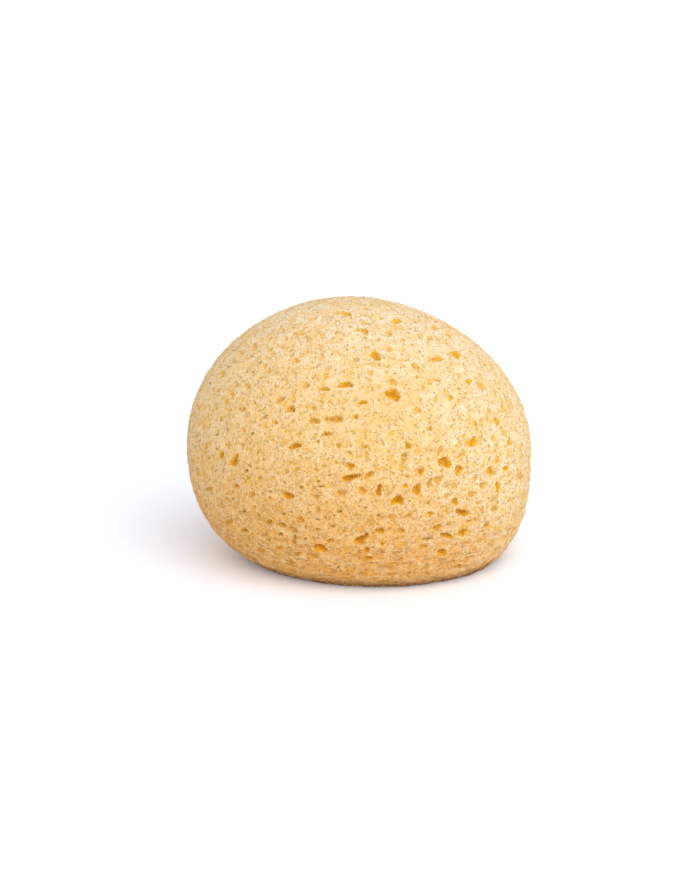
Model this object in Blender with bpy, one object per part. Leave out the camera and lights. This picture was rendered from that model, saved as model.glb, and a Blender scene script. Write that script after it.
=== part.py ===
"""A round bath sponge with the look of a sea sponge, resting on its flattened underside.

It is one grown piece: a domed body, squarer below its widest level, cut off flat where it rests,
bowed a little sideways, with broad swells and open pores of two to seven millimetres sunk into its skin.
Metres, +Z up, the front towards -Y, the origin below the middle of the body on the resting plane.
"""

import math

import bmesh
import bpy
import numpy as np
from mathutils import Vector

MM = 0.001

# Body, measured from the middle of its widest level
HALF_WIDTH = 69.5 * MM
HALF_DEPTH = 55.5 * MM
CROWN_HEIGHT = 61.1 * MM
KEEL_DEPTH = 57.6 * MM
BELLY_HEIGHT = 46.6 * MM
UPPER_SQUARENESS = 1.9
LOWER_SQUARENESS = 2.54
CROWN_LEFT = 5.2 * MM
FOOT_RIGHT = 4.2 * MM
FOOT_BACK = 2.2 * MM
SEGMENTS_ROUND = 44
ROWS_DOWN = 22

# Broad swells that keep the body from being a perfect egg
SWELL_COUNT = 6
SWELL_HEIGHT = 0.45 * MM
SWELL_TURNS = (2.0, 5.0)
SWELL_SEED = 11

# The eye from which the front pores were measured, and where it sees the middle of the widest level
EYE_ELEVATION = math.radians(16.0)
EYE_DISTANCE = 833.0 * MM
MIDDLE_SEEN_AT = (-0.3 * MM, -2.6 * MM)
MOST_STRETCH = 2.2

# Front pores as the eye sees them: across, up, wide, tall and deep in millimetres, slant in degrees
FRONT_PORES = (
    (-5.7, 52.0, 4.8, 1.8, 2.5, -8), (1.6, 45.0, 3.2, 2.4, 3.0, -35), (14.6, 49.0, 3.2, 2.8, 3.0, 0),
    (-19.5, 49.9, 3.2, 1.3, 1.5, 0), (11.8, 37.5, 2.6, 2.0, 2.0, 0), (6.0, 35.0, 4.4, 3.4, 3.0, -30),
    (-1.8, 33.4, 3.2, 1.8, 1.5, 0), (22.7, 30.3, 2.8, 2.4, 2.0, 0), (13.0, 24.5, 3.2, 3.0, 1.5, 0),
    (-14.5, 21.5, 3.8, 1.8, 2.5, 0), (-6.2, 23.2, 6.0, 2.6, 3.0, 0), (-14.3, 26.8, 2.0, 3.0, 1.5, 0),
    (-26.3, 33.0, 3.0, 2.2, 2.0, 0), (-37.3, 28.7, 1.8, 2.8, 2.0, -15), (-56.0, 27.5, 2.6, 3.0, 1.5, 0),
    (-43.0, 38.5, 2.6, 3.4, 1.0, 0), (30.3, 46.3, 3.2, 2.2, 1.5, 0), (35.8, 43.3, 3.0, 1.8, 2.0, -30),
    (28.3, 41.8, 2.6, 1.8, 1.8, 0), (38.8, 35.3, 4.2, 2.8, 3.0, -20), (31.0, 33.7, 5.0, 2.6, 2.5, 15),
    (44.0, 24.4, 3.0, 2.4, 2.5, 0), (49.0, 22.6, 4.8, 2.0, 2.2, -42), (-32.5, 17.2, 4.6, 1.9, 2.2, 30),
    (-28.4, 13.4, 3.4, 3.2, 4.0, 0), (-54.4, 16.2, 1.8, 2.8, 2.2, -10), (-48.2, 13.4, 2.6, 2.2, 1.8, 0),
    (-34.9, 8.0, 2.6, 2.0, 2.2, -30), (-53.9, -1.3, 2.8, 1.8, 2.0, 20), (-56.5, -5.3, 2.6, 3.2, 3.0, 0),
    (-51.2, -7.8, 3.4, 4.8, 4.0, -15), (-26.7, -1.8, 5.0, 2.4, 2.8, 10), (-50.5, -18.2, 3.0, 2.4, 2.0, 0),
    (-61.0, -19.3, 2.6, 2.2, 1.8, 0), (13.2, 19.2, 6.2, 4.6, 4.5, -10), (1.0, 16.1, 3.8, 1.6, 2.2, 8),
    (-19.2, 13.8, 2.6, 2.0, 1.8, 0), (-19.0, 8.6, 4.6, 3.0, 2.0, 0), (-10.5, 9.3, 7.0, 2.6, 2.2, -5),
    (-2.0, 10.2, 2.8, 2.0, 2.5, 0), (-13.8, 3.2, 4.0, 1.9, 2.5, 0), (22.9, 12.8, 3.4, 2.6, 1.5, 0),
    (19.3, -1.7, 2.6, 3.0, 2.2, -25), (17.6, -6.4, 2.8, 3.8, 2.0, 0), (-4.0, -9.9, 3.6, 2.5, 3.5, 0),
    (-4.2, -14.6, 6.6, 2.8, 3.5, 18), (7.4, -19.8, 2.4, 5.0, 3.5, -8), (18.2, -17.9, 2.3, 2.1, 2.5, 0),
    (22.9, -19.4, 3.2, 4.8, 4.0, 0), (0.7, -19.8, 3.6, 2.8, 2.0, 0), (24.5, -12.0, 2.6, 3.5, 3.0, 0),
    (36.6, 17.9, 2.0, 2.2, 2.0, 0), (58.0, 13.7, 1.8, 5.0, 1.5, 0), (49.4, 8.3, 2.0, 2.5, 1.5, 0),
    (55.5, 8.3, 2.3, 3.6, 3.0, 0), (28.2, 5.4, 2.5, 1.8, 1.8, 20), (58.5, 3.5, 2.0, 2.8, 2.0, -25),
    (60.7, -0.2, 1.9, 3.8, 2.8, 0), (45.8, -0.2, 3.3, 4.4, 3.0, -10), (42.0, 2.3, 2.2, 2.3, 1.8, 0),
    (32.3, -3.3, 2.1, 3.4, 2.2, -20), (34.3, -8.4, 5.2, 4.4, 4.5, 0), (39.8, -11.6, 3.3, 3.8, 4.0, 0),
    (41.5, -4.9, 2.8, 1.9, 1.8, 30), (53.0, -12.0, 3.6, 4.2, 2.0, 0), (59.1, -11.0, 2.8, 2.3, 2.5, 0),
    (28.0, -16.8, 1.7, 4.6, 2.0, -15), (31.3, -15.5, 3.0, 3.6, 2.2, 0), (49.8, -17.8, 2.5, 3.4, 2.8, 0),
    (55.9, -18.6, 2.2, 5.0, 2.8, 10), (-29.6, -21.8, 4.6, 3.0, 4.0, -30), (-44.2, -21.5, 2.8, 2.6, 2.0, 0),
    (-41.4, -30.4, 2.6, 1.7, 2.0, -25), (-37.2, -32.7, 3.2, 2.0, 2.5, 0), (-32.2, -33.7, 4.2, 1.8, 2.0, -15),
    (-53.2, -32.7, 3.6, 2.2, 1.8, 0), (-47.2, -36.1, 3.2, 1.9, 2.5, 0), (-27.5, -35.7, 4.0, 2.4, 2.0, -20),
    (-24.5, -31.7, 3.4, 2.4, 2.5, 0), (-40.5, -44.2, 3.8, 2.2, 2.0, 0), (-17.8, -22.3, 2.4, 2.1, 2.0, 0),
    (15.0, -23.8, 5.4, 3.6, 4.5, 35), (19.2, -30.1, 3.6, 1.6, 1.8, 0), (-16.2, -43.3, 5.8, 3.0, 3.0, -15),
    (-12.2, -40.2, 3.0, 1.7, 2.2, 0), (0.2, -39.6, 7.6, 2.5, 3.0, 32), (7.8, -36.2, 3.6, 3.0, 2.8, 0),
    (16.3, -36.1, 3.0, 2.4, 2.0, 0), (2.5, -44.1, 2.8, 2.2, 2.5, 0), (3.0, -47.3, 4.4, 1.8, 2.5, 10),
    (28.4, -29.2, 2.5, 2.1, 2.5, 0), (38.4, -24.4, 3.0, 3.0, 3.0, 20), (41.5, -28.9, 5.4, 2.8, 3.0, -15),
    (45.2, -21.2, 3.4, 2.4, 2.4, 0), (31.0, -34.9, 3.6, 2.6, 2.4, 30), (35.0, -38.2, 4.8, 2.4, 2.8, -18),
    (41.6, -37.0, 3.4, 3.6, 2.4, 0), (51.5, -34.2, 2.8, 2.6, 2.0, 0), (33.0, -44.9, 4.0, 3.0, 3.2, 0),
    (54.5, -27.3, 3.4, 2.2, 1.5, 20),
)

# Pores on the sides, the back and the underside, which the eye doesn't see
HIDDEN_PORE_COUNT = 92
HIDDEN_PORE_SEED = 5
HIDDEN_WIDE = (2.2 * MM, 5.4 * MM)
HIDDEN_SHAPE = (0.55, 1.0)
HIDDEN_DEPTH = (0.6, 1.0)
FACES_THE_EYE = 0.22
CLEAR_FOOT_RADIUS = 9.0 * MM

# Shape of a pore
LEAST_GAP = 0.5 * MM
LARGE_PORE = 3.0 * MM
BELLY_SHARE = 1.1
BELLY_LEVEL = 0.3
WALL_ROUNDNESS = 0.6
CUTTER_LIFT = 0.9 * MM
RIM_WOBBLE = (0.10, 0.07)
RIM_SEED = 23

SKIN_COLOUR = (0.91, 0.68, 0.36, 1.0)
SKIN_ROUGHNESS = 0.95


def clear_scene():
    for obj in list(bpy.data.objects):
        bpy.data.objects.remove(obj)


def swell(directions):
    """A sum of slow sine waves over the sphere of directions, as a share of the radius."""
    random = np.random.default_rng(SWELL_SEED)
    total = np.zeros(len(directions))
    for _ in range(SWELL_COUNT):
        wave = random.normal(size=3)
        wave *= random.uniform(*SWELL_TURNS) / np.linalg.norm(wave)
        total += np.sin(directions @ wave + random.uniform(0, 2 * math.pi))
    return total * SWELL_HEIGHT / HALF_WIDTH


def skin_radius(directions):
    """Distance from the middle to the smooth skin along each unit direction.

    The skin is a superellipsoid, squarer below the widest level than above it, times the
    swells, and no ray reaches past the resting plane.
    """
    across = np.hypot(directions[:, 0] / HALF_WIDTH, directions[:, 1] / HALF_DEPTH)
    upright = directions[:, 2]
    below = upright < 0
    reach = np.where(below, KEEL_DEPTH, CROWN_HEIGHT)
    power = np.where(below, LOWER_SQUARENESS, UPPER_SQUARENESS)
    radius = (across**power + np.abs(upright / reach) ** power) ** (-1 / power)
    radius *= 1 + swell(directions)
    to_floor = BELLY_HEIGHT / np.maximum(-upright, 1e-9)
    return np.where(below, np.minimum(radius, to_floor), radius)


def bow(heights):
    """How far each level stands off the upright axis: as the square of its height or depth."""
    up = np.maximum(heights, 0) / CROWN_HEIGHT
    down = np.minimum(heights, 0) / BELLY_HEIGHT
    across = FOOT_RIGHT * down**2 - CROWN_LEFT * up**2
    return np.stack([across, FOOT_BACK * down**2, np.zeros_like(heights)], axis=1)


def skin_points(directions):
    """Points of the smooth skin, from the middle of the widest level, each level bowed aside."""
    points = directions * skin_radius(directions)[:, None]
    return points + bow(points[:, 2])


def depth_share(points):
    """1 on the skin, less inside it and more outside."""
    upright = points - bow(points[:, 2])
    distance = np.linalg.norm(upright, axis=1)
    return distance / skin_radius(upright / distance[:, None])


def skin_normals(points):
    """Outward normals, from how depth_share changes along each axis."""
    step = 0.2 * MM
    slopes = [depth_share(points + step * axis) - depth_share(points - step * axis) for axis in np.eye(3)]
    normals = np.stack(slopes, axis=1)
    return normals / np.linalg.norm(normals, axis=1)[:, None]


def view_axes():
    """The eye's right, up and forward directions."""
    sine, cosine = math.sin(EYE_ELEVATION), math.cos(EYE_ELEVATION)
    return np.array([1.0, 0.0, 0.0]), np.array([0.0, sine, cosine]), np.array([0.0, cosine, -sine])


def sighted(across, up):
    """Where the eye's rays through these places of its view meet the skin, by halving."""
    right, upward, forward = view_axes()
    eye = -EYE_DISTANCE * forward
    aim = np.outer(across - MIDDLE_SEEN_AT[0], right) + np.outer(up - MIDDLE_SEEN_AT[1], upward)
    ray = aim - eye
    ray /= np.linalg.norm(ray, axis=1)[:, None]
    near = np.zeros(len(ray))
    far = -ray @ eye
    for _ in range(40):
        middle = (near + far) / 2
        outside = depth_share(eye + ray * middle[:, None]) > 1
        near = np.where(outside, middle, near)
        far = np.where(outside, far, middle)
    return eye + ray * far[:, None]


def front_pores():
    """(centre, half-axis, half-axis, outward normal, depth) of each pore that the eye sees.

    The two half-axes of the seen ellipse are slid along the line of sight on to the skin.
    """
    table = np.array(FRONT_PORES)
    across, up, wide, tall, deep = table[:, :5].T * MM
    slant = np.radians(table[:, 5])
    centres = sighted(across, up)
    normals = skin_normals(centres)
    right, upward, forward = view_axes()
    facing = -normals @ forward
    pores = []
    for i, centre in enumerate(centres):
        seen = (
            wide[i] / 2 * (math.cos(slant[i]) * right + math.sin(slant[i]) * upward),
            tall[i] / 2 * (math.cos(slant[i]) * upward - math.sin(slant[i]) * right),
        )
        axes = []
        for half in seen:
            slid = half + forward * (normals[i] @ half) / max(facing[i], 0.1)
            slid *= min(1.0, MOST_STRETCH * np.linalg.norm(half) / np.linalg.norm(slid))
            axes.append(slid - normals[i] * (normals[i] @ slid))
        pores.append((centre, *axes, normals[i], deep[i]))
    return pores


def hidden_pores(taken):
    """Pores scattered where the eye doesn't look, each clear of those before it."""
    random = np.random.default_rng(HIDDEN_PORE_SEED)
    forward = view_axes()[2]
    pores = []
    while len(pores) < HIDDEN_PORE_COUNT:
        direction = random.normal(size=(1, 3))
        direction /= np.linalg.norm(direction)
        centre = skin_points(direction)
        normal = skin_normals(centre)[0]
        centre = centre[0]
        wide = HIDDEN_WIDE[0] + (HIDDEN_WIDE[1] - HIDDEN_WIDE[0]) * random.random() ** 2
        tall = wide * random.uniform(*HIDDEN_SHAPE)
        deep = wide * random.uniform(*HIDDEN_DEPTH)
        turn = random.uniform(0, math.pi)
        if -normal @ forward > FACES_THE_EYE:
            continue
        on_foot = centre[2] < -BELLY_HEIGHT + MM
        if on_foot and np.hypot(centre[0], centre[1]) < CLEAR_FOOT_RADIUS:
            continue
        side = np.cross(normal, [math.cos(turn), math.sin(turn), 0.5])
        side /= np.linalg.norm(side)
        pore = (centre, wide / 2 * side, tall / 2 * np.cross(normal, side), normal, deep)
        if clear_of(pore, taken + pores):
            pores.append(pore)
    return pores


def reach_towards(pore, direction):
    """How far a pore's ellipse reaches from its centre along a direction."""
    return BELLY_SHARE * math.hypot(pore[1] @ direction, pore[2] @ direction)


def clear_of(pore, others):
    """Whether a skin at least LEAST_GAP thick stays between this pore and each of the others."""
    for other in others:
        apart = other[0] - pore[0]
        distance = np.linalg.norm(apart)
        toward = apart / max(distance, 1e-9)
        if distance < reach_towards(pore, toward) + reach_towards(other, toward) + LEAST_GAP:
            return False
    return True


def add_pit(mesh, pore, random):
    """Adds one pore's cutter: a small sphere made a bucket, wider inside than at its mouth."""
    centre, half_wide, half_tall, normal, deep = pore
    mean_width = np.linalg.norm(half_wide) + np.linalg.norm(half_tall)
    segments, rows = (8, 4) if mean_width > LARGE_PORE else (6, 3)
    wobble = [(turns, share, random.uniform(0, 2 * math.pi)) for turns, share in zip((2, 3), RIM_WOBBLE)]
    made = bmesh.ops.create_uvsphere(mesh, u_segments=segments, v_segments=rows, radius=1.0)
    for vert in made["verts"]:
        x, y, z = vert.co
        ring = math.hypot(x, y)
        angle = math.atan2(y, x)
        uneven = 1 + sum(share * math.sin(turns * angle + phase) for turns, share, phase in wobble)
        radius = BELLY_SHARE * ring**WALL_ROUNDNESS * uneven
        above = BELLY_LEVEL * deep + CUTTER_LIFT
        height = -BELLY_LEVEL * deep + z * (above if z > 0 else deep * (1 - BELLY_LEVEL))
        spot = radius * (math.cos(angle) * half_wide + math.sin(angle) * half_tall)
        vert.co = Vector(centre + spot + height * normal)


def new_object(name, mesh, collection):
    data = bpy.data.meshes.new(name)
    mesh.to_mesh(data)
    mesh.free()
    obj = bpy.data.objects.new(name, data)
    collection.objects.link(obj)
    return obj


def body_mesh():
    """A sphere of rows and segments, each vertex moved out along its ray to the smooth skin."""
    mesh = bmesh.new()
    bmesh.ops.create_uvsphere(mesh, u_segments=SEGMENTS_ROUND, v_segments=ROWS_DOWN, radius=1.0)
    bmesh.ops.triangulate(mesh, faces=mesh.faces)
    directions = np.array([vert.co for vert in mesh.verts])
    directions /= np.linalg.norm(directions, axis=1)[:, None]
    for vert, point in zip(mesh.verts, skin_points(directions)):
        vert.co = Vector(point)
    return mesh


def pore_cutter_mesh(pores):
    mesh = bmesh.new()
    random = np.random.default_rng(RIM_SEED)
    for pore in pores:
        add_pit(mesh, pore, random)
    bmesh.ops.recalc_face_normals(mesh, faces=mesh.faces)
    return mesh


def skin_material():
    material = bpy.data.materials.new("sponge_skin")
    material.use_nodes = True
    shader = material.node_tree.nodes["Principled BSDF"]
    shader.inputs["Base Color"].default_value = SKIN_COLOUR
    shader.inputs["Roughness"].default_value = SKIN_ROUGHNESS
    shader.inputs["Metallic"].default_value = 0.0
    return material


def chosen_pores():
    """The front pores that leave skin between them, then the hidden ones."""
    front = []
    for pore in sorted(front_pores(), key=lambda pore: -np.linalg.norm(pore[1]) * np.linalg.norm(pore[2])):
        if clear_of(pore, front):
            front.append(pore)
    return front + hidden_pores(front)


def main():
    clear_scene()
    parts = bpy.data.collections.new("sea_sponge")
    cutters = bpy.data.collections.new("cutters")
    bpy.context.scene.collection.children.link(parts)
    bpy.context.scene.collection.children.link(cutters)

    sponge = new_object("sponge", body_mesh(), parts)
    pits = new_object("pore_cutters", pore_cutter_mesh(chosen_pores()), cutters)
    pits.hide_render = True
    pits.display_type = "WIRE"

    corners = np.array([vert.co for vert in sponge.data.vertices])
    middle = (corners.min(axis=0) + corners.max(axis=0)) / 2
    place = (-middle[0], -middle[1], BELLY_HEIGHT)
    sponge.location = place
    pits.location = place

    cut = sponge.modifiers.new("pores", "BOOLEAN")
    cut.operation = "DIFFERENCE"
    cut.solver = "EXACT"
    cut.object = pits

    sponge.data.materials.append(skin_material())
    sponge.data.shade_smooth()
    sponge.data.set_sharp_from_angle(angle=math.radians(40))


main()
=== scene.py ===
"""A round bath sponge, pale straw and cream, pitted with pores painted amber inside for their glow,
resting on a white floor.
"""

import math

import bpy
import numpy as np
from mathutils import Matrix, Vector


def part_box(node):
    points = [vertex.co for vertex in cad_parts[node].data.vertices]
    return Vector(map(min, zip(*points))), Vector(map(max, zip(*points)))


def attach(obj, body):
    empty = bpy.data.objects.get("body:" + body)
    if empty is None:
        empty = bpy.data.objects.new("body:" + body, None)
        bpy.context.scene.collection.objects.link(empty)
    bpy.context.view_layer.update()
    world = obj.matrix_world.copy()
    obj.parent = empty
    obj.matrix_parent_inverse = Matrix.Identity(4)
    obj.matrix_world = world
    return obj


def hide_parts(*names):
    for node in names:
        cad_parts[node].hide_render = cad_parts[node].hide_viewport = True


MM = 0.001

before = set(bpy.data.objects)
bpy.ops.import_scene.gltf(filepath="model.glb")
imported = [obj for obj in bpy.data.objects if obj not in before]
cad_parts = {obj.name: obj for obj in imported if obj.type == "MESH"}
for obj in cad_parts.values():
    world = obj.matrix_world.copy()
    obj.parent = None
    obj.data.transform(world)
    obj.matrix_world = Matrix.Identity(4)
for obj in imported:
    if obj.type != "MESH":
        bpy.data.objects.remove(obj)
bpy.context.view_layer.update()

# The sponge's body.
# One grown lump of springy fibre, trimmed round and dried. It is squarer below its widest level,
# its crown bends to the left, and it lies flat where its own weight presses it on the shelf.
foot, crown = (np.array(corner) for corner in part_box("sponge"))
width, depth, height = crown - foot
HALF_WIDTH = 0.4989 * width
HALF_DEPTH = 0.4964 * depth
CROWN_HEIGHT = 0.5639 * height
KEEL_DEPTH = 0.5316 * height
BELLY_HEIGHT = 0.4301 * height
UPPER_SQUARENESS = 1.9
LOWER_SQUARENESS = 2.54
CROWN_LEFT = 0.0373 * width
FOOT_RIGHT = 0.0301 * width
FOOT_BACK = 0.0197 * depth
SWELL_COUNT = 6
SWELL_HEIGHT = 0.45 * MM
SWELL_TURNS = (2.0, 5.0)
SWELL_SEED = 11
SLOPE_STEP = 0.2 * MM
TINY = 1e-9


def swell(directions):
    """A few slow sine waves over the sphere of directions, added up, as a share of the radius."""
    random = np.random.default_rng(SWELL_SEED)
    total = np.zeros(len(directions))
    for _ in range(SWELL_COUNT):
        wave = random.normal(size=3)
        wave *= random.uniform(*SWELL_TURNS) / np.linalg.norm(wave)
        total += np.sin(directions @ wave + random.uniform(0, 2 * math.pi))
    return total * SWELL_HEIGHT / HALF_WIDTH


def smooth_radius(directions):
    """Distance from the belly's middle to the smooth skin.

    A superellipsoid, with one power below the belly and another above it, times the swells,
    and cut short where a ray would pass the resting plane.
    """
    across = np.hypot(directions[:, 0] / HALF_WIDTH, directions[:, 1] / HALF_DEPTH)
    upright = directions[:, 2]
    below = upright < 0
    reach = np.where(below, KEEL_DEPTH, CROWN_HEIGHT)
    power = np.where(below, LOWER_SQUARENESS, UPPER_SQUARENESS)
    radius = (across**power + np.abs(upright / reach) ** power) ** (-1 / power)
    radius *= 1 + swell(directions)
    return np.where(below, np.minimum(radius, BELLY_HEIGHT / np.maximum(-upright, TINY)), radius)


def bow(heights):
    """How far each level stands off the upright axis: as the square of its height or depth."""
    up = np.maximum(heights, 0) / CROWN_HEIGHT
    down = np.minimum(heights, 0) / BELLY_HEIGHT
    across = FOOT_RIGHT * down**2 - CROWN_LEFT * up**2
    return np.stack([across, FOOT_BACK * down**2, np.zeros_like(heights)], axis=1)


def smooth_skin(directions):
    """Points of the smooth skin about the belly's middle, each level bowed aside."""
    points = directions * smooth_radius(directions)[:, None]
    return points + bow(points[:, 2])


def straightened(points):
    """Unit directions of points about the belly's middle, and their distance, without the bow."""
    upright = points - bow(points[:, 2])
    distance = np.linalg.norm(upright, axis=1)
    return upright / distance[:, None], distance


def depth_share(points):
    """1 on the smooth skin, less inside it and more outside."""
    directions, distance = straightened(points)
    return distance / smooth_radius(directions)


def outward(points):
    """Unit normals: how fast depth_share changes along each axis."""
    steps = SLOPE_STEP * np.eye(3)
    slopes = [depth_share(points + step) - depth_share(points - step) for step in steps]
    normals = np.stack(slopes, axis=1)
    return normals / np.linalg.norm(normals, axis=1)[:, None]


# The grid of the skin.
# Six square patches, as on a cube blown up to a ball, joined at their edges. The grid is finer
# towards the eye and above, where the skin is seen best.
PATCH_STEPS = 128
FINER_TOWARDS = np.array([0.0, -0.26, 0.12])
PATCHES = (
    ((0, 1, 0), (0, 0, 1), (1, 0, 0)),
    ((0, -1, 0), (0, 0, 1), (-1, 0, 0)),
    ((-1, 0, 0), (0, 0, 1), (0, 1, 0)),
    ((1, 0, 0), (0, 0, 1), (0, -1, 0)),
    ((1, 0, 0), (0, 1, 0), (0, 0, 1)),
    ((-1, 0, 0), (0, 1, 0), (0, 0, -1)),
)
PATCH_MARGIN = 0.004
JOINED_DIGITS = 6


def ball_grid():
    """Directions of the six patches' points, their quads, and each quad corner's place in the map.

    On a patch, a point at angles a and b from its middle, each from -45 to 45 degrees, looks
    along its middle + tan(a) times its right + tan(b) times its up.
    """
    turns = np.tan(np.linspace(-math.pi / 4, math.pi / 4, PATCH_STEPS + 1))
    a, b = np.meshgrid(turns, turns, indexing="ij")
    share = np.linspace(PATCH_MARGIN, 1 - PATCH_MARGIN, PATCH_STEPS + 1)
    share_a, share_b = np.meshgrid(share, share, indexing="ij")
    i, j = np.meshgrid(np.arange(PATCH_STEPS), np.arange(PATCH_STEPS), indexing="ij")
    corner = i * (PATCH_STEPS + 1) + j
    next_row = corner + PATCH_STEPS + 1
    quad = np.stack([corner, next_row, next_row + 1, corner + 1], axis=-1)
    rays, quads, places = [], [], []
    for number, (right, up, middle) in enumerate(PATCHES):
        ray = a[..., None] * np.array(right) + b[..., None] * np.array(up) + np.array(middle)
        rays.append(ray.reshape(-1, 3))
        quads.append(quad.reshape(-1, 4) + number * (PATCH_STEPS + 1) ** 2)
        place = np.stack([(share_a + number % 3) / 3, (share_b + number // 3) / 2], axis=-1)
        places.append(place.reshape(-1, 2))
    rays = np.concatenate(rays)
    rays /= np.linalg.norm(rays, axis=1)[:, None]
    quads = np.concatenate(quads)
    corner_places = np.concatenate(places)[quads.ravel()]
    rounded = np.round(rays, JOINED_DIGITS)
    _, first, index = np.unique(rounded, axis=0, return_index=True, return_inverse=True)
    rays = rays[first] + FINER_TOWARDS
    return rays / np.linalg.norm(rays, axis=1)[:, None], index.reshape(-1)[quads], corner_places


rays, skin_quads, map_places = ball_grid()
smooth_points = smooth_skin(rays)
off_centre = (smooth_points.min(axis=0) + smooth_points.max(axis=0)) / 2
belly = np.array([*((foot + crown) / 2 - off_centre)[:2], BELLY_HEIGHT])

# The eye.
# The sponge was photographed from a little above, with a long lens. The pores on the side that
# it shows were measured through this eye.
EYE_ELEVATION = math.radians(16.0)
EYE_DISTANCE = 833 * MM
LENS = 85.0
FARTHEST_SHOWN = 50.0
FRAME_MIDDLE = (-3.76 * MM, 5.24 * MM)
MIDDLE_SEEN_AT = (-0.3 * MM, -2.6 * MM)
SIGHT_HALVINGS = 40
sight_right = np.array([1.0, 0.0, 0.0])
sight_up = np.array([0.0, math.sin(EYE_ELEVATION), math.cos(EYE_ELEVATION)])
sight_forward = np.array([0.0, math.cos(EYE_ELEVATION), -math.sin(EYE_ELEVATION)])

camera = bpy.data.objects.new("camera", bpy.data.cameras.new("camera"))
camera.data.lens = LENS
camera.data.clip_end = FARTHEST_SHOWN
looked_at = belly + FRAME_MIDDLE[0] * sight_right + FRAME_MIDDLE[1] * sight_up
camera.location = looked_at - EYE_DISTANCE * sight_forward
camera.rotation_euler = (math.pi / 2 - EYE_ELEVATION, 0, 0)
bpy.context.scene.collection.objects.link(camera)
bpy.context.scene.camera = camera


def sighted(across, up):
    """Where the eye's rays through these places of its view meet the smooth skin, by halving."""
    eye = -EYE_DISTANCE * sight_forward
    aim_across = np.outer(across - MIDDLE_SEEN_AT[0], sight_right)
    aim_up = np.outer(up - MIDDLE_SEEN_AT[1], sight_up)
    ray = aim_across + aim_up - eye
    ray /= np.linalg.norm(ray, axis=1)[:, None]
    near = np.zeros(len(ray))
    far = -ray @ eye
    for _ in range(SIGHT_HALVINGS):
        middle = (near + far) / 2
        outside = depth_share(eye + ray * middle[:, None]) > 1
        near = np.where(outside, middle, near)
        far = np.where(outside, far, middle)
    return eye + ray * far[:, None]


# The pores.
# Mouths of the canals through which the sponge drew water; the open ones are deep, with amber
# painted inside as the glow of light scattered in them, and olive as painted shade, most in the
# pin pores. Those that the photograph shows are listed as the eye sees them: across, up, wide and
# tall in millimetres, and slant in degrees.
OPEN_PORES = (
    (-5.7, 52.0, 4.8, 1.8, -8), (1.6, 45.0, 3.2, 2.4, -35), (14.6, 49.0, 3.2, 2.8, 0),
    (6.0, 35.0, 4.4, 3.4, -30), (-6.2, 23.2, 6.0, 2.6, 0), (-14.5, 21.5, 3.8, 1.8, 0),
    (38.8, 35.3, 4.2, 2.8, -20), (32.1, 34.2, 1.6, 1.4, 0), (44.0, 24.4, 3.0, 2.4, 0),
    (-28.4, 13.4, 3.4, 3.2, 0), (-56.5, -5.3, 2.6, 3.2, 0), (-51.2, -7.8, 3.4, 4.8, -15),
    (-26.7, -1.8, 5.0, 2.4, 10), (13.2, 19.2, 6.2, 4.6, -10), (1.0, 16.1, 3.8, 1.6, 8),
    (-2.0, 10.2, 2.8, 2.0, 0), (-13.8, 3.2, 4.0, 1.9, 0), (19.3, -1.7, 2.6, 3.0, -25),
    (-4.0, -9.9, 3.6, 2.5, 0), (-4.2, -14.6, 6.6, 2.8, 18), (7.4, -19.8, 2.4, 5.0, -8),
    (18.2, -17.9, 2.3, 2.1, 0), (22.9, -19.4, 3.2, 4.8, 0), (24.5, -12.0, 2.6, 3.5, 0),
    (36.6, 17.9, 2.0, 2.2, 0), (55.5, 8.3, 2.3, 3.6, 0), (60.7, -0.2, 1.9, 3.8, 0),
    (45.8, -0.2, 3.3, 4.4, -10), (34.3, -8.4, 5.2, 4.4, 0), (39.8, -11.6, 3.3, 3.8, 0),
    (59.1, -11.0, 2.8, 2.3, 0), (55.9, -18.6, 2.2, 5.0, 10), (-29.6, -21.8, 4.6, 3.0, -30),
    (-37.2, -32.7, 3.2, 2.0, 0), (-47.2, -36.1, 3.2, 1.9, 0), (15.0, -23.8, 5.4, 3.6, 35),
    (-12.2, -40.2, 3.0, 1.7, 0), (-16.2, -43.3, 5.8, 3.0, -15), (0.2, -39.6, 7.6, 2.5, 32),
    (7.8, -36.2, 3.6, 3.0, 0), (2.5, -44.1, 2.8, 2.2, 0), (3.0, -47.3, 4.4, 1.8, 10),
    (38.4, -24.4, 3.0, 3.0, 20), (41.5, -28.9, 5.4, 2.8, -15), (28.4, -29.2, 2.5, 2.1, 0),
    (31.0, -34.9, 3.6, 2.6, 30), (35.0, -38.2, 4.8, 2.4, -18), (41.6, -37.0, 3.4, 3.6, 0),
    (33.0, -44.9, 4.0, 3.0, 0),
)
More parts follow.
